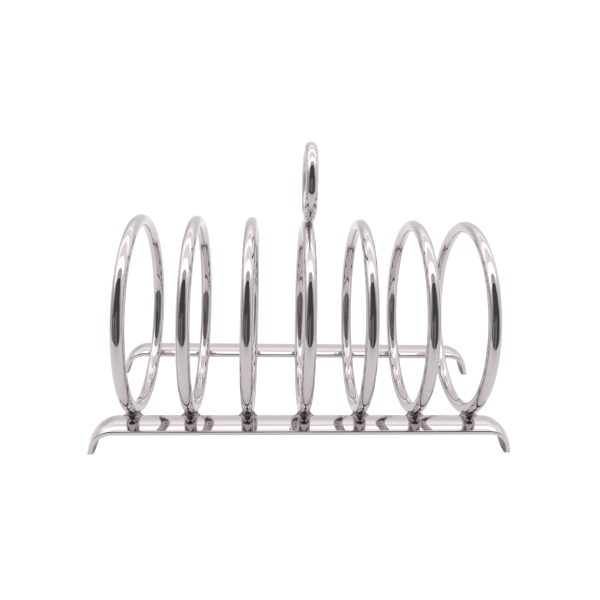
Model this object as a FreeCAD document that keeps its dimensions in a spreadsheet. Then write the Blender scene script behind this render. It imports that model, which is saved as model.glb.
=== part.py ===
import FreeCAD, Part
import math
import os
import Sketcher

# A toast rack of welded, polished round bar.  Seven upright ring hoops stand in
# a row along X on two long rails.  The rails are low domed flat bars whose ends
# bend down into feet, and a small carry ring stands on top of the middle hoop.
# The origin is on the table, under the middle hoop, with +X along the rails.

HOOP_COUNT = 7
MIDDLE_HOOP = 4
SIDES = (("front", -1), ("rear", 1))

# Millimetres, and degrees for the two angles.
DIMENSIONS = (
    ("hoop_bar", 6.0, "diameter of the round bar of each hoop"),
    ("hoop_radius", 45.4, "centre line radius of each hoop"),
    ("hoop_height", 54.5, "height of the hoop centres above the table"),
    ("hoop_pitch", 26.7, "distance from one hoop to the next"),
    ("rail_spacing", 69.4, "distance between the centre lines of the rails"),
    ("rail_width", 12.9, "width of the flat bar"),
    ("rail_base", 13.3, "height of the flat underside of the rails"),
    ("rail_crest", 3.2, "thickness of the bar along the crest of its dome"),
    ("dome_radius", 17.0, "radius of the domed upper face"),
    ("lower_corner", 0.3, "corner radius between underside and edge"),
    ("upper_corner", 0.8, "corner radius between edge and dome"),
    ("rail_straight", 86.74, "half length of the straight run"),
    ("foot_bend", 9.0, "radius of the underside where the ends bend down"),
    ("foot_angle", 75.5, "angle that the ends bend through"),
    ("foot_leg", 8.2, "straight run after the bend, before trimming"),
    ("toe_radius", 7.0, "radius across the bottom of the toe"),
    ("toe_corner", 4.0, "radius at the sides of the toe"),
    ("toe_margin", 0.04, "how far the toe curve starts outside the bar"),
    ("toe_flat", 2.2, "width of the flat that rests on the table"),
    ("trim_depth", 6.0, "how far the trimming profile reaches below the table"),
    ("ring_bar", 5.7, "diameter of the round bar of the carry ring"),
    ("ring_radius", 15.9, "centre line radius of the carry ring"),
    ("ring_gap", 0.12, "gap between carry ring and hoop, filled by the weld"),
    ("weld_angle", 36.1, "place of the rail welds, from the bottom of the hoop"),
    ("weld_long", 9.4, "size of a rail weld along the rail"),
    ("weld_broad", 5.6, "size of a rail weld along the hoop"),
    ("weld_deep", 3.4, "size of a rail weld from rail to hoop"),
    ("ring_weld_long", 4.4, "size of the ring weld along X"),
    ("ring_weld_broad", 15.0, "size of the ring weld along Y"),
    ("ring_weld_deep", 3.6, "height of the ring weld"),
)

doc = FreeCAD.newDocument("ToastRack")
sheet = doc.addObject("Spreadsheet::Sheet", "dims")
for row, (alias, value, note) in enumerate(DIMENSIONS, start=1):
    sheet.set(f"A{row}", alias)
    sheet.set(f"B{row}", str(value))
    sheet.setAlias(f"B{row}", alias)
    sheet.set(f"C{row}", note)
doc.recompute()

nodes = []


def origin_plane(body, role):
    """The body's own origin plane with this role."""
    return next(f for f in body.Origin.OriginFeatures if f.Role == role)


def new_sketch(body, name, role):
    """An empty sketch on one of the body's origin planes."""
    sketch = body.newObject("Sketcher::SketchObject", name)
    sketch.AttachmentSupport = (origin_plane(body, role), "")
    sketch.MapMode = "FlatFace"
    return sketch


def bind(obj, **expressions):
    """Bind properties of an object to expressions on the sheet."""
    for name, expression in expressions.items():
        obj.setExpression(name, expression)


def place(obj, x="0", y="0", z="0"):
    """Bind the position of an object to expressions on the sheet."""
    obj.setExpression("Placement.Base.x", x)
    obj.setExpression("Placement.Base.y", y)
    obj.setExpression("Placement.Base.z", z)


def constrain(sketch, *args, name=None, value=None):
    """Add a constraint and, if it is named, bind it to the sheet."""
    index = sketch.addConstraint(Sketcher.Constraint(*args))
    if name:
        sketch.renameConstraint(index, name)
        sketch.setExpression(f"Constraints.{name}", value)


def arc(cx, cy, radius, start, end):
    """A counter-clockwise arc between two angles in degrees."""
    circle = Part.Circle(FreeCAD.Vector(cx, cy, 0), FreeCAD.Vector(0, 0, 1), radius)
    return Part.ArcOfCircle(circle, math.radians(start), math.radians(end))


def line(x1, y1, x2, y2):
    """A straight sketch segment."""
    return Part.LineSegment(FreeCAD.Vector(x1, y1, 0), FreeCAD.Vector(x2, y2, 0))


def ring(name, radius, bar, x, z):
    """A closed ring of round bar, revolved about X and standing across the rails."""
    body = doc.addObject("PartDesign::Body", name)
    sketch = new_sketch(body, f"{name}_section", "XZ_Plane")
    sketch.addGeometry(Part.Circle(FreeCAD.Vector(0, -20, 0), FreeCAD.Vector(0, 0, 1), 3))
    constrain(sketch, "PointOnObject", 0, 3, -2)
    constrain(sketch, "DistanceY", 0, 3, -1, 1, 20, name="radius", value=radius)
    constrain(sketch, "Diameter", 0, 6, name="thick", value=bar)
    doc.recompute()
    turn = body.newObject("PartDesign::Revolution", f"{name}_turn")
    turn.Profile = sketch
    turn.ReferenceAxis = (sketch, ["H_Axis"])
    turn.Angle = 360
    body.Tip = turn
    place(body, x=x, z=z)
    body.Label = name
    nodes.append(body)
    return body


def rail_spine(body, name):
    """The line of the underside from mid length out to the toe."""
    size = sheet.rail_straight, sheet.rail_base, sheet.foot_bend, sheet.foot_leg
    straight, base, bend, leg = size
    angle = math.radians(sheet.foot_angle)
    end_x = straight + bend * math.sin(angle)
    end_z = base - bend * (1 - math.cos(angle))
    sketch = new_sketch(body, name, "XZ_Plane")
    sketch.addGeometry([
        line(0, base, straight, base),
        arc(straight, base - bend, bend, 90 - sheet.foot_angle, 90),
        line(end_x, end_z, end_x + leg * math.cos(angle), end_z - leg * math.sin(angle)),
    ])
    constrain(sketch, "PointOnObject", 0, 1, -2)
    constrain(sketch, "Horizontal", 0)
    constrain(sketch, "Tangent", 0, 2, 1, 2)
    constrain(sketch, "Tangent", 1, 1, 2, 1)
    constrain(sketch, "DistanceY", -1, 1, 0, 1, base, name="base", value="dims.rail_base")
    constrain(sketch, "DistanceX", 0, 1, 0, 2, straight,
              name="straight", value="dims.rail_straight")
    constrain(sketch, "Radius", 1, bend, name="bend", value="dims.foot_bend")
    constrain(sketch, "Distance", 2, leg, name="leg", value="dims.foot_leg")
    constrain(sketch, "Angle", 0, 2, 2, 1, math.pi - angle,
              name="turn", value="180 - dims.foot_angle")
    return sketch


def rail_section(body, name):
    """The cross section: flat underside, short edges and a domed top."""
    half, base = sheet.rail_width / 2, sheet.rail_base
    low, high, dome = sheet.lower_corner, sheet.upper_corner, sheet.dome_radius
    dome_z = base + sheet.rail_crest - dome
    lean = math.asin((half - high) / (dome - high))
    corner_z = dome_z + (dome - high) * math.cos(lean)
    turn = math.degrees(lean)
    sketch = new_sketch(body, name, "YZ_Plane")
    sketch.addGeometry([
        line(-half + low, base, half - low, base),
        arc(half - low, base + low, low, -90, 0),
        line(half, base + low, half, corner_z),
        arc(half - high, corner_z, high, 0, 90 - turn),
        arc(0, dome_z, dome, 90 - turn, 90 + turn),
        arc(-half + high, corner_z, high, 90 + turn, 180),
        line(-half, corner_z, -half, base + low),
        arc(-half + low, base + low, low, 180, 270),
    ])
    for here, there in zip(range(8), (1, 2, 3, 4, 5, 6, 7, 0)):
        constrain(sketch, "Tangent", here, 2, there, 1)
    constrain(sketch, "Vertical", 2)
    constrain(sketch, "Vertical", 6)
    constrain(sketch, "Horizontal", 0)
    constrain(sketch, "PointOnObject", 4, 3, -2)
    constrain(sketch, "Equal", 2, 6)
    constrain(sketch, "Equal", 1, 7)
    constrain(sketch, "Equal", 3, 5)
    constrain(sketch, "Radius", 1, low, name="low", value="dims.lower_corner")
    constrain(sketch, "Radius", 3, high, name="high", value="dims.upper_corner")
    constrain(sketch, "Radius", 4, dome, name="dome", value="dims.dome_radius")
    constrain(sketch, "DistanceX", -1, 1, 2, 1, half, name="half", value="dims.rail_width / 2")
    constrain(sketch, "DistanceY", -1, 1, 0, 1, base, name="base", value="dims.rail_base")
    constrain(sketch, "DistanceY", -1, 1, 4, 3, dome_z, name="dome_height",
              value="dims.rail_base + dims.rail_crest - dims.dome_radius")
    return sketch


def toe_trim(body, name):
    """What is trimmed off both toes: all below a broad curve with a small flat."""
    half = sheet.rail_width / 2 + sheet.toe_margin
    flat, broad, corner = sheet.toe_flat / 2, sheet.toe_radius, sheet.toe_corner
    below, out = sheet.trim_depth, half + corner
    broad_z = math.sqrt(broad ** 2 - flat ** 2)
    across = half - corner
    corner_z = broad_z - math.sqrt((broad - corner) ** 2 - across ** 2)
    turn = math.degrees(math.asin(across / (broad - corner)))
    start = math.degrees(math.asin(flat / broad))
    sketch = new_sketch(body, name, "YZ_Plane")
    sketch.addGeometry([
        line(-flat, 0, flat, 0),
        arc(0, broad_z, broad, start - 90, turn - 90),
        arc(across, corner_z, corner, turn - 90, 0),
        line(half, corner_z, out, corner_z),
        line(out, corner_z, out, -below),
        line(out, -below, -out, -below),
        line(-out, -below, -out, corner_z),
        line(-out, corner_z, -half, corner_z),
        arc(-across, corner_z, corner, 180, 270 - turn),
        arc(0, broad_z, broad, 270 - turn, 270 - start),
    ])
    for here, there in ((1, 2), (8, 9)):
        constrain(sketch, "Tangent", here, 2, there, 1)
    for here, there in ((0, 1), (2, 3), (3, 4), (4, 5), (5, 6), (6, 7), (7, 8), (9, 0)):
        constrain(sketch, "Coincident", here, 2, there, 1)
    constrain(sketch, "Coincident", 1, 3, 9, 3)
    for geometry in (0, 3, 5, 7):
        constrain(sketch, "Horizontal", geometry)
    for geometry in (4, 6):
        constrain(sketch, "Vertical", geometry)
    constrain(sketch, "PointOnObject", 0, 1, -1)
    constrain(sketch, "Symmetric", 2, 2, 8, 1, -2)
    constrain(sketch, "Equal", 1, 9)
    constrain(sketch, "Equal", 2, 8)
    constrain(sketch, "Horizontal", 2, 3, 3, 1)
    constrain(sketch, "Horizontal", 7, 2, 8, 3)
    constrain(sketch, "Radius", 1, broad, name="broad", value="dims.toe_radius")
    constrain(sketch, "Radius", 2, corner, name="corner", value="dims.toe_corner")
    constrain(sketch, "DistanceX", 0, 1, 0, 2, 2 * flat, name="flat", value="dims.toe_flat")
    constrain(sketch, "DistanceX", -1, 1, 2, 2, half, name="half",
              value="dims.rail_width / 2 + dims.toe_margin")
    constrain(sketch, "DistanceX", 3, 1, 3, 2, corner, name="out_right", value="dims.toe_corner")
    constrain(sketch, "DistanceX", 7, 1, 7, 2, corner, name="out_left", value="dims.toe_corner")
    constrain(sketch, "DistanceY", 4, 2, -1, 1, below, name="below", value="dims.trim_depth")
    return sketch


def make_rail(side, sign):
    """One rail: a swept half, mirrored, with both toes trimmed."""
    name = f"{side}_rail"
    body = doc.addObject("PartDesign::Body", name)
    spine = rail_spine(body, f"{name}_spine")
    section = rail_section(body, f"{name}_section")
    doc.recompute()
    sweep = body.newObject("PartDesign::AdditivePipe", f"{name}_sweep")
    sweep.Profile = section
    sweep.Spine = (spine, ["Edge1", "Edge2", "Edge3"])
    doc.recompute()
    mirror = body.newObject("PartDesign::Mirrored", f"{name}_mirror")
    mirror.Originals = [sweep]
    mirror.MirrorPlane = (origin_plane(body, "YZ_Plane"), [""])
    body.Tip = mirror
    doc.recompute()
    before = body.Shape.Volume
    trim = body.newObject("PartDesign::Pocket", f"{name}_toes")
    trim.Profile = toe_trim(body, f"{name}_toe_outline")
    trim.Type = "ThroughAll"
    trim.Midplane = True
    body.Tip = trim
    place(body, y=f"{sign} * dims.rail_spacing / 2")
    body.Label = name
    doc.recompute()
    print(f"{name}: {before:.1f} mm3 before trimming, {body.Shape.Volume:.1f} after")
    nodes.append(body)
    return body


def make_weld(name, bead, tools):
    """A weld is a bead of metal with the bars that it joins cut out of it."""
    weld = bead
    for count, tool in enumerate(tools, start=1):
        cut = doc.addObject("Part::Cut", name if tool is tools[-1] else f"{name}_cut_{count}")
        cut.Base = weld
        cut.Tool = tool
        weld = cut
    weld.Label = name
    nodes.append(weld)
    return weld


rails = {side: make_rail(side, sign) for side, sign in SIDES}

hoops = {}
for number in range(1, HOOP_COUNT + 1):
    hoops[number] = ring(
        f"hoop_{number}", "dims.hoop_radius", "dims.hoop_bar",
        f"{number - MIDDLE_HOOP} * dims.hoop_pitch", "dims.hoop_height")

hoop_top = "dims.hoop_height + dims.hoop_radius + dims.hoop_bar / 2"
carry_ring = ring("carry_ring", "dims.ring_radius", "dims.ring_bar", "0",
                  f"{hoop_top} + dims.ring_gap + dims.ring_bar / 2 + dims.ring_radius")

for side, sign in SIDES:
    for number, hoop in hoops.items():
        name = f"weld_{side}_{number}"
        bead = doc.addObject("Part::Ellipsoid", f"{name}_bead")
        bead.Placement = FreeCAD.Placement(
            FreeCAD.Vector(), FreeCAD.Rotation(FreeCAD.Vector(1, 0, 0), sign * sheet.weld_angle))
        bind(bead, Radius1="dims.weld_deep / 2", Radius2="dims.weld_long / 2",
             Radius3="dims.weld_broad / 2")
        reach = "(dims.hoop_radius + dims.hoop_bar / 2)"
        place(bead,
              x=f"{number - MIDDLE_HOOP} * dims.hoop_pitch",
              y=f"{sign} * {reach} * sin(dims.weld_angle)",
              z=f"dims.hoop_height - {reach} * cos(dims.weld_angle)")
        make_weld(name, bead, (hoop, rails[side]))

bead = doc.addObject("Part::Ellipsoid", "weld_ring_bead")
bind(bead, Radius1="dims.ring_weld_deep / 2", Radius2="dims.ring_weld_long / 2",
     Radius3="dims.ring_weld_broad / 2")
place(bead, z=f"{hoop_top} + dims.ring_gap / 2")
make_weld("weld_ring", bead, (hoops[MIDDLE_HOOP], carry_ring))

doc.recompute()
for obj in doc.Objects:
    if "Invalid" in obj.State or "Error" in obj.State:
        raise RuntimeError(f"{obj.Name} did not recompute: {obj.State}")
for node in nodes:
    if node.Shape.isNull() or not node.Shape.isValid() or len(node.Shape.Solids) != 1:
        raise RuntimeError(f"{node.Label} is not one valid solid")

os.makedirs("parts", exist_ok=True)
for node in nodes:
    node.Shape.exportStep(f"parts/{node.Label}.step")
print(f"{len(nodes)} nodes written")
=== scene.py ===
import math

import bpy
from mathutils import Matrix, Vector, noise


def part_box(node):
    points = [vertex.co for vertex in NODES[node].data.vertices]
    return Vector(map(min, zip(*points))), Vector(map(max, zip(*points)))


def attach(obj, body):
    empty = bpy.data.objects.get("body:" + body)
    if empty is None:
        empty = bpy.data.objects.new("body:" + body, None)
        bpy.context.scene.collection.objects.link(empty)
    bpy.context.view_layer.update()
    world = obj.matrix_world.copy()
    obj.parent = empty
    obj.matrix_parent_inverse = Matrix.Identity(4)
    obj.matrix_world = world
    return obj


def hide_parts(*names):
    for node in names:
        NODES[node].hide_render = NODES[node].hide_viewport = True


# A toast rack of mirror-polished steel.  The bars are the CAD nodes with better
# materials, and a fillet stands for each weld.  Polished steel looks like what it
# reflects, so the world is a light tent: pale cloth walls, soft boxes and light
# bars, and an open front towards a darker room.

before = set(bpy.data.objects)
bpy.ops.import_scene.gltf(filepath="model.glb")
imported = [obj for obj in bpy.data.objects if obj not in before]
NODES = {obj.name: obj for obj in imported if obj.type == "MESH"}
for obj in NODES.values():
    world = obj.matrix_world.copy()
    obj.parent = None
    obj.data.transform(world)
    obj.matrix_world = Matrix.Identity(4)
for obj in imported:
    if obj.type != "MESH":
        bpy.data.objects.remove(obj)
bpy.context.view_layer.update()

MM = 0.001
DEG = 180 / math.pi
X_AXIS, Y_AXIS, Z_AXIS = Vector((1, 0, 0)), Vector((0, 1, 0)), Vector((0, 0, 1))

# Rail section: what its bounding box doesn't say.
DOME_RADIUS = 17.0 * MM
UPPER_CORNER = 0.8 * MM

# Welds: how far the metal reaches from the contact, how full the fillet is
# (0 is hollow, 1 is flat, more bulges), and how finely it is drawn.
RAIL_WELD_REACH = {"along_rail": 4.75 * MM, "outward": 3.8 * MM, "inward": 1.8 * MM}
RING_WELD_REACH = {"along_rail": 3.9 * MM, "outward": 9.0 * MM, "inward": 9.0 * MM}
RAIL_WELD_FULL, RING_WELD_FULL = 0.55, 1.12
WELD_AROUND, WELD_ACROSS = 72, 14
WELD_SINK = 0.02 * MM
WELD_WAVER = 0.05
WAVER_SIZE, WAVER_TURN = 2 * MM, 1.3
BALL_SEARCH, BALL_HALVINGS = 3 * MM, 30
CLOSE_DOWN, CLOSE_OUT, CLOSE_UP = 0.8 * MM, 0.6 * MM, 2.0 * MM

STEEL = (0.596, 0.547, 0.552)
# Painted shade: a dark tint for the undersides of the rails and the backs of their feet.
PAINTED_SHADE_STEEL = (0.17, 0.13, 0.145)
WELD_STEEL = (0.32, 0.294, 0.298)


# ---------------------------------------------------------------- node helper
class Term:
    """A number in a node tree; arithmetic on it makes Math nodes."""

    def __init__(self, tree, socket):
        self.tree, self.socket = tree, socket

    def op(self, kind, *others):
        node = self.tree.nodes.new("ShaderNodeMath")
        node.operation = kind
        for slot, value in enumerate((self, *others)):
            if isinstance(value, Term):
                self.tree.links.new(value.socket, node.inputs[slot])
            else:
                node.inputs[slot].default_value = value
        return Term(self.tree, node.outputs[0])

    def __add__(self, other):
        return self.op("ADD", other)

    def __sub__(self, other):
        return self.op("SUBTRACT", other)

    def __mul__(self, other):
        return self.op("MULTIPLY", other)

    def __truediv__(self, other):
        return self.op("DIVIDE", other)

    def change(self, low, high, at_low, at_high, kind):
        node = self.tree.nodes.new("ShaderNodeMapRange")
        node.interpolation_type = kind
        self.tree.links.new(self.socket, node.inputs["Value"])
        node.inputs["From Min"].default_value = low
        node.inputs["From Max"].default_value = high
        node.inputs["To Min"].default_value = at_low
        node.inputs["To Max"].default_value = at_high
        return Term(self.tree, node.outputs["Result"])

    def step(self, low, high):
        """Smoothly 0 at low and 1 at high; low may be the larger."""
        return self.change(low, high, 0, 1, "SMOOTHSTEP")

    def ramp(self, low, high, at_low, at_high):
        """Straight-line change from at_low to at_high, level outside."""
        return self.change(low, high, at_low, at_high, "LINEAR")

    def within(self, low, high, soft):
        """1 between low and high, with soft edges."""
        return self.step(low - soft, low + soft) * self.step(high + soft, high - soft)

    def toward(self, level, mask):
        """Moves to a level where the mask is 1."""
        return self + mask * ((self * -1.0) + level)


def split(tree, socket):
    """The three components of a vector socket."""
    node = tree.nodes.new("ShaderNodeSeparateXYZ")
    tree.links.new(socket, node.inputs[0])
    return [Term(tree, out) for out in node.outputs]


def cloud(tree, x, y, z, detail):
    """A noise value, about 0 to 1, at these coordinates."""
    join = tree.nodes.new("ShaderNodeCombineXYZ")
    for term, socket in zip((x, y, z), join.inputs):
        tree.links.new(term.socket, socket)
    node = tree.nodes.new("ShaderNodeTexNoise")
    node.inputs["Scale"].default_value = 1.0
    node.inputs["Detail"].default_value = detail
    tree.links.new(join.outputs[0], node.inputs["Vector"])
    return Term(tree, node.outputs["Fac"])


def bumped(tree, height, depth, normal=None):
    """A normal bent by this height, with depth in metres for a change of 1."""
    node = tree.nodes.new("ShaderNodeBump")
    node.inputs["Distance"].default_value = depth
    tree.links.new(height.socket, node.inputs["Height"])
    if normal:
        tree.links.new(normal, node.inputs["Normal"])
    return node.outputs["Normal"]


# ---------------------------------------------------------------- materials
# Sizes of the features, as a scale, and depths of the uneven surface.
PATCH = 1 / (14 * MM)
WAVE, WAVE_DEPTH = 1 / (9 * MM), 0.016 * MM
GRAIN, GRAIN_RUN, GRAIN_DEPTH = 1 / (0.35 * MM), 1 / (16 * MM), 0.0005 * MM
RIPPLE, RIPPLE_DEPTH = 1 / (1.1 * MM), 0.007 * MM

# Noise values that count as low and high.
NOISE_LOW, NOISE_HIGH = 0.3, 0.7
GRAIN_LOW, GRAIN_HIGH = 0.35, 0.75

# Roughness, from the smoothest patches to the roughest.
HOOP_ROUGH = 0.012, 0.030
RAIL_ROUGH = 0.012, 0.034
DULL_ROUGH = 0.26, 0.40
WELD_ROUGH = 0.035, 0.085
GRAIN_ROUGH = -0.004, 0.006

# Where the rails are rougher and carry painted shade: the normal's Z goes down
# past the first pair, and its Y is smaller than the second.
DULL_AND_SHADE_DOWN = -0.06, -0.14
DULL_AND_SHADE_SIDE = 0.78, 0.5


def new_metal(name, tint):
    """A metal with this tint, its node tree and its shader."""
    mat = bpy.data.materials.new(name)
    mat.use_nodes = True
    tree = mat.node_tree
    shader = tree.nodes["Principled BSDF"]
    shader.inputs["Metallic"].default_value = 1.0
    shader.inputs["Base Color"].default_value = (*tint, 1)
    return mat, tree, shader


def object_place(tree):
    """Where a point is on the object, in metres."""
    return split(tree, tree.nodes.new("ShaderNodeTexCoord").outputs["Object"])


def polish(tree, shader, grain, rough):
    """Cloudy gloss, a slightly wavy surface and fine marks along the bar."""
    x, y, z = object_place(tree)
    patch = cloud(tree, x * PATCH, y * PATCH, z * PATCH, 3)
    gloss = patch.ramp(NOISE_LOW, NOISE_HIGH, *rough) + grain.ramp(GRAIN_LOW, GRAIN_HIGH, *GRAIN_ROUGH)
    tree.links.new(gloss.socket, shader.inputs["Roughness"])
    wave = cloud(tree, x * WAVE, y * WAVE, z * WAVE, 1)
    normal = bumped(tree, wave, WAVE_DEPTH)
    tree.links.new(bumped(tree, grain, GRAIN_DEPTH, normal), shader.inputs["Normal"])
    return gloss


def ring_steel(name, node):
    """Polished round bar, with the marks running round the ring of this node."""
    mat, tree, shader = new_metal(name, STEEL)
    low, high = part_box(node)
    middle = (low[2] + high[2]) / 2
    x, y, z = object_place(tree)
    z = z - middle
    out = (y * y + z * z).op("SQRT")
    run = y.op("ARCTAN2", z) * ((high[2] - low[2]) / 2)
    grain = cloud(tree, x * GRAIN, out * GRAIN, run * GRAIN_RUN, 2)
    polish(tree, shader, grain, HOOP_ROUGH)
    return mat


def rail_steel(name):
    """Polished flat bar; its underside and the backs of its feet are rougher and darkened with painted
    shade.
    """
    mat, tree, shader = new_metal(name, STEEL)
    x, y, z = object_place(tree)
    grain = cloud(tree, x * GRAIN_RUN, y * GRAIN, z * GRAIN, 2)
    gloss = polish(tree, shader, grain, RAIL_ROUGH)
    facing = split(tree, tree.nodes.new("ShaderNodeNewGeometry").outputs["Normal"])
    # The faces that are rougher and darkened with painted shade.
    under = facing[2].step(*DULL_AND_SHADE_DOWN) * facing[1].op("ABSOLUTE").step(*DULL_AND_SHADE_SIDE)
    patch = cloud(tree, x * PATCH, y * PATCH, z * PATCH, 6)
    rough = gloss + under * (patch.ramp(NOISE_LOW, NOISE_HIGH, *DULL_ROUGH) - gloss)
    tree.links.new(rough.socket, shader.inputs["Roughness"])
    # Painted shade: the dark tint mixed into the base colour where the mask is 1.
    shade = tree.nodes.new("ShaderNodeMix")
    shade.data_type = "RGBA"
    shade.inputs["A"].default_value = (*STEEL, 1)
    shade.inputs["B"].default_value = (*PAINTED_SHADE_STEEL, 1)
    tree.links.new(under.socket, shade.inputs["Factor"])
    tree.links.new(shade.outputs["Result"], shader.inputs["Base Color"])
    return mat


def weld_metal(name):
    """Hand-finished weld metal: darker and less smooth, with soft ripples."""
    mat, tree, shader = new_metal(name, WELD_STEEL)
    x, y, z = object_place(tree)
    ripple = cloud(tree, x * RIPPLE, y * RIPPLE, z * RIPPLE, 2)
    gloss = ripple.ramp(NOISE_LOW, NOISE_HIGH, *WELD_ROUGH)
    tree.links.new(gloss.socket, shader.inputs["Roughness"])
    tree.links.new(bumped(tree, ripple, RIPPLE_DEPTH), shader.inputs["Normal"])
    return mat


# The first word of a node's name says what finish it has.
WELD = weld_metal("weld_metal")
FINISH = {
    "hoop": ring_steel("polished_hoop_bar", "hoop_4"),
    "carry": ring_steel("polished_ring_bar", "carry_ring"),
    "front": rail_steel("polished_flat_bar"),
    "weld": WELD,
}
FINISH["rear"] = FINISH["front"]
for name, obj in NODES.items():
    obj.data.materials.clear()
    obj.data.materials.append(FINISH[name.split("_")[0]])


# ---------------------------------------------------------------- welds
def ring_surface(node):
    """For a ring of round bar: the nearest point on it, and how far that is."""
    low, high = (Vector(corner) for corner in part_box(node))
    centre = (low + high) / 2
    bar = (high.x - low.x) / 2
    radius = (high.z - low.z) / 2 - bar

    def nearest(point):
        out = Vector((0, point.y - centre.y, point.z - centre.z)).normalized()
        spine = centre + out * radius
        away = point - spine
        return spine + away.normalized() * (bar - WELD_SINK), away.length - bar + WELD_SINK
    return nearest


def rail_shape(node):
    """The section of a rail: middle, dome centre height, corner centre and lean."""
    low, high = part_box(node)
    middle, half = (low[1] + high[1]) / 2, (high[1] - low[1]) / 2
    dome_z = high[2] - DOME_RADIUS
    corner_out = half - UPPER_CORNER
    lean = math.asin(corner_out / (DOME_RADIUS - UPPER_CORNER))
    corner_z = dome_z + (DOME_RADIUS - UPPER_CORNER) * math.cos(lean)
    return middle, dome_z, corner_out, corner_z, lean


def rail_surface(node):
    """For the top and edges of a rail: the nearest point, and how far that is."""
    middle, dome_z, corner_out, corner_z, lean = rail_shape(node)

    def nearest(point):
        across = point.y - middle
        if abs(math.atan2(across, point.z - dome_z)) <= lean:
            core, radius = Vector((point.x, middle, dome_z)), DOME_RADIUS
        else:
            side = middle + math.copysign(corner_out, across)
            core, radius = Vector((point.x, side, min(point.z, corner_z))), UPPER_CORNER
        away = point - core
        return core + away.normalized() * (radius - WELD_SINK), away.length - radius + WELD_SINK
    return nearest


def rolling_ball(start, up, lower, upper):
    """The ball on the line through start that touches both surfaces."""
    down, top = -BALL_SEARCH, BALL_SEARCH
    for _ in range(BALL_HALVINGS):
        height = (down + top) / 2
        centre = start + up * height
        if lower(centre)[1] < upper(centre)[1]:
            down = height
        else:
            top = height
    return centre


def fillet(name, node, contact, up, outward, lower, upper, reach, full):
    """A fillet all round a contact, closed inside the two bars."""
    verts, faces = [], []
    for step in range(WELD_AROUND):
        turn = 2 * math.pi * step / WELD_AROUND
        across, out = math.cos(turn), math.sin(turn)
        sample = contact / WAVER_SIZE + Vector((across, out, 0)) * WAVER_TURN
        waver = 1 + WELD_WAVER * noise.noise(sample)
        broad = reach["outward"] if out > 0 else reach["inward"]
        start = contact + (X_AXIS * across * reach["along_rail"] + outward * out * broad) * waver
        centre = rolling_ball(start, up, lower, upper)
        foot, radius = lower(centre)
        first = (foot - centre).normalized()
        last = (upper(centre)[0] - centre).normalized()
        for part in range(WELD_ACROSS + 1):
            share = part / WELD_ACROSS
            hollow = centre + first.slerp(last, share) * radius
            flat = centre + first.lerp(last, share) * radius
            verts.append(hollow.lerp(flat, full))
    row = WELD_ACROSS + 1
    total = len(verts)
    for step in range(WELD_AROUND):
        here, there = step * row, (step + 1) % WELD_AROUND * row
        for part in range(WELD_ACROSS):
            faces.append((here + part, there + part, there + part + 1, here + part + 1))
        faces.append((there, here, total))
        faces.append((here + WELD_ACROSS, there + WELD_ACROSS, total + 1))
    verts.append(contact - up * CLOSE_DOWN + outward * CLOSE_OUT)
    verts.append(contact + up * CLOSE_UP)
    mesh = bpy.data.meshes.new(name)
    mesh.from_pydata(verts, [], faces)
    mesh.shade_smooth()
    mesh.materials.append(WELD)
    piece = bpy.data.objects.new(name, mesh)
    bpy.context.scene.collection.objects.link(piece)
    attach(piece, "root")
    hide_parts(node)


def rail_weld(side, sign, number):
    """The weld between a hoop and the inner upper corner of a rail."""
    rail, hoop = f"{side}_rail", f"hoop_{number}"
    middle, _, corner_out, corner_z, _ = rail_shape(rail)
    low, high = (Vector(corner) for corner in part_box(hoop))
    hoop_centre = (low + high) / 2
    corner = Vector((hoop_centre.x, middle - sign * corner_out, corner_z))
    up = (hoop_centre - corner).normalized()
    outward = Vector((0, sign * up.z, -sign * up.y))
    fillet(f"fillet_{side}_{number}", f"weld_{side}_{number}", corner + up * UPPER_CORNER, up, outward,
           rail_surface(rail), ring_surface(hoop), RAIL_WELD_REACH, RAIL_WELD_FULL)


def ring_weld():
    """The weld between the middle hoop and the carry ring."""
    contact_z = (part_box("hoop_4")[1][2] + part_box("carry_ring")[0][2]) / 2
    fillet("fillet_ring", "weld_ring", Vector((0, 0, contact_z)), Z_AXIS, Y_AXIS,
           ring_surface("hoop_4"), ring_surface("carry_ring"), RING_WELD_REACH, RING_WELD_FULL)


for side, sign in (("front", -1), ("rear", 1)):
    for number in range(1, 8):
        rail_weld(side, sign, number)
ring_weld()

# ---------------------------------------------------------------- stage
# The floor runs back from the open front of the tent.
FLOOR_LEFT, FLOOR_RIGHT, FLOOR_FRONT, FLOOR_BACK = -0.38, 1.4, -0.39, 2.6
FLOOR_GREY = 0.60
# Painted light: a glow in the floor, full from FLOOR_LIT_FROM backwards and weaker towards the front.
FLOOR_LIT_FROM = -0.05
FLOOR_GLOW = 0.12, 0.45
WHITE = 1.1


def floor_material():
    """Pale matt floor with a painted glow, weaker towards the front; plain white to the camera."""
    mat = bpy.data.materials.new("floor")
    mat.use_nodes = True
    tree = mat.node_tree
    matt = tree.nodes["Principled BSDF"]
    matt.inputs["Base Color"].default_value = (FLOOR_GREY, FLOOR_GREY, FLOOR_GREY, 1)
    matt.inputs["Roughness"].default_value = 1.0
    matt.inputs["Specular IOR Level"].default_value = 0.0
    matt.inputs["Emission Color"].default_value = (1, 1, 1, 1)
    glow = object_place(tree)[1].ramp(FLOOR_FRONT, FLOOR_LIT_FROM, *FLOOR_GLOW)
    tree.links.new(glow.socket, matt.inputs["Emission Strength"])
    white = tree.nodes.new("ShaderNodeEmission")
    white.inputs["Strength"].default_value = WHITE
    pick = tree.nodes.new("ShaderNodeMixShader")
    path = tree.nodes.new("ShaderNodeLightPath")
    tree.links.new(path.outputs["Is Camera Ray"], pick.inputs[0])
    tree.links.new(matt.outputs[0], pick.inputs[1])
    tree.links.new(white.outputs[0], pick.inputs[2])
    tree.links.new(pick.outputs[0], tree.nodes["Material Output"].inputs["Surface"])
    return mat


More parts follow.
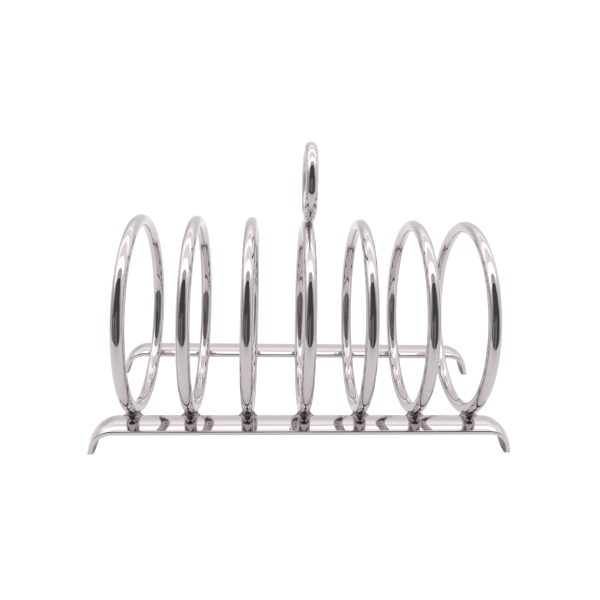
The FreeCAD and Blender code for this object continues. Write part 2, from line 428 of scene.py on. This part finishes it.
def make_floor():
    corners = [(FLOOR_LEFT, FLOOR_FRONT, 0), (FLOOR_RIGHT, FLOOR_FRONT, 0),
               (FLOOR_RIGHT, FLOOR_BACK, 0), (FLOOR_LEFT, FLOOR_BACK, 0)]
    mesh = bpy.data.meshes.new("floor")
    mesh.from_pydata(corners, [], [(0, 1, 2, 3)])
    mesh.materials.append(floor_material())
    floor = bpy.data.objects.new("floor", mesh)
    bpy.context.scene.collection.objects.link(floor)


make_floor()

# ---------------------------------------------------------------- light tent
# Light shapes overhead, on a flat ceiling at height 1: left, right, front, rear,
# soft edge, level.  Later ones lie over earlier ones.
CEILING_LIGHTS = (
    (-0.42, 0.78, 0.88, 1.00, 0.035, 1.62),    # third light bar
    (-1.25, 1.12, 0.30, 0.56, 0.06, 1.35),     # glow beside the second
    (-1.25, 1.12, 0.37, 0.55, 0.02, 1.95),     # second light bar
    (-1.15, 1.12, -0.27, -0.01, 0.02, 2.0),    # light bar overhead
    (-0.62, 0.52, -0.90, -0.28, 0.02, 0.58),   # front header
)
# Things in the room beyond the open front, on a wall at distance 1: left, right,
# low, top, level.
ROOM_SHAPES = (
    (-1.90, 0.16, -0.2, 0.42, 0.10),           # dark back of the room
    (-1.12, -0.86, -0.2, 0.36, 0.50),
    (-0.76, -0.69, 0.05, 0.45, 0.38),
    (-0.34, -0.26, 0.28, 0.48, 0.30),
    (-0.24, -0.16, -0.2, 0.34, 0.50),
    (-0.01, 0.07, -0.2, 0.50, 0.50),
    (0.81, 0.87, -0.2, 0.55, 0.20),
)
ROOM_SOFT_ACROSS, ROOM_SOFT_UP = 0.015, 0.03
DARK_ROOM = 0.081
HORIZON = 0.02


def cloth_walls(rise, side, behind):
    """Walls by height above the horizon and turn, all in degrees."""
    # pale cloth all round, brighter higher up
    light = rise.ramp(24, 46, 0.93, 1.36)
    light = light.toward(1.17, rise.step(46.5, 49.5))
    # back wall: a duller patch left of the middle, a bright one to the right
    light = light.toward(0.76, behind.within(-50, -20, 9) * rise.step(34, 20))
    light = light.toward(1.25, behind.within(48, 84, 9) * rise.within(12, 42, 8))
    # right wall, shaded towards the edge of the opening
    light = light.toward(0.96, side.within(40, 100, 8) * rise.step(50, 40))
    shaded = side.ramp(46, 60, 0.14, 0.545) + side.ramp(60, 72, 0, 0.45)
    bright = side.ramp(52, 60, 0.545, 0.63) + side.ramp(60, 70, 0, 0.40)
    cheek = shaded + rise.step(24, 29) * (bright - shaded)
    light = light + (side.within(44, 74, 2) * rise.step(50, 40)) * (cheek - light)
    # left wall: a big soft box above, duller cloth below
    light = light.toward(0.97, side.within(-136, -100, 6) * rise.step(24, 18))
    light = light.toward(1.52, side.within(-132, -74, 6) * rise.within(25, 46, 4))
    light = light.toward(1.62, side.within(-97, -66, 6) * rise.within(40, 64, 4))
    light = light.toward(0.52, side.within(-104, -60, 5) * rise.step(24, 16))
    # ceiling
    return light.toward(1.17, rise.step(68, 76))


def ceiling_lights(light, dx, dy, dz):
    """The light shapes overhead, laid over the cloth."""
    above = dz.op("MAXIMUM", HORIZON)
    top_x, top_y = dx / above, dy / above
    for left, right, front, rear, soft, level in CEILING_LIGHTS:
        mask = top_x.within(left, right, soft) * top_y.within(front, rear, soft)
        light = light.toward(level, mask * dz.step(0.0, HORIZON))
    return light


def open_front(light, dx, dy, dz, rise, side):
    """The open front of the tent and the room beyond it."""
    ahead = (dy * -1.0).op("MAXIMUM", HORIZON)
    front_x, front_z = dx / ahead, dz / ahead
    opening = front_z.step(2.01, 1.94) * side.within(-80, 45.5, 1.0)
    light = light.toward(DARK_ROOM, opening * side.step(-52, -46))
    # a curtain at the left of the opening, duller near the floor
    curtain = side.ramp(-50, -80, 0.09, 1.15)
    light = light + (opening * side.step(-46, -52)) * (curtain - light)
    hem = side.ramp(-56, -74, 0.24, 0.50)
    light = light + (side.within(-76, -56, 3) * rise.step(26, 18)) * (hem - light)
    for left, right, low, top, level in ROOM_SHAPES:
        mask = front_x.within(left, right, ROOM_SOFT_ACROSS) * front_z.within(low, top, ROOM_SOFT_UP)
        light = light.toward(level, mask * (dy * -1.0).step(0, HORIZON))
    return light


def make_world():
    world = bpy.data.worlds.new("studio")
    bpy.context.scene.world = world
    world.use_nodes = True
    tree = world.node_tree
    dx, dy, dz = split(tree, tree.nodes.new("ShaderNodeTexCoord").outputs["Generated"])
    rise = dz.op("ARCSINE") * DEG
    side = dx.op("ARCTAN2", dy * -1.0) * DEG
    behind = dx.op("ARCTAN2", dy) * DEG
    light = cloth_walls(rise, side, behind)
    light = ceiling_lights(light, dx, dy, dz)
    light = open_front(light, dx, dy, dz, rise, side)
    path = tree.nodes.new("ShaderNodeLightPath")
    light = light.toward(WHITE, Term(tree, path.outputs["Is Camera Ray"]))
    back = tree.nodes["Background"]
    tree.links.new(light.socket, back.inputs["Strength"])
    back.inputs["Color"].default_value = (1, 1, 1, 1)


make_world()

# ---------------------------------------------------------------- camera
CAMERA_PLACE = Vector((-0.0168, -0.2642, 0.1848))
CAMERA_YAW, CAMERA_PITCH, CAMERA_ROLL = 0.073507, -0.356120, 0.044446
CAMERA_LENS, CAMERA_SENSOR = 35.2302, 36
CAMERA_SHIFT = -0.0205, -0.0747


def make_camera():
    level = math.cos(CAMERA_PITCH)
    forward = Vector((math.sin(CAMERA_YAW) * level, math.cos(CAMERA_YAW) * level, math.sin(CAMERA_PITCH)))
    right = Vector((math.cos(CAMERA_YAW), -math.sin(CAMERA_YAW), 0))
    up = right.cross(forward)
    rolled_right = math.cos(CAMERA_ROLL) * right + math.sin(CAMERA_ROLL) * up
    rolled_up = -math.sin(CAMERA_ROLL) * right + math.cos(CAMERA_ROLL) * up
    data = bpy.data.cameras.new("camera")
    data.lens = CAMERA_LENS
    data.sensor_width = CAMERA_SENSOR
    data.shift_x, data.shift_y = CAMERA_SHIFT
    camera = bpy.data.objects.new("camera", data)
    bpy.context.scene.collection.objects.link(camera)
    turn = Matrix((rolled_right, rolled_up, -forward)).transposed().to_4x4()
    turn.translation = CAMERA_PLACE
    camera.matrix_world = turn
    bpy.context.scene.camera = camera


make_camera()
bpy.context.scene.view_settings.view_transform = "Standard"
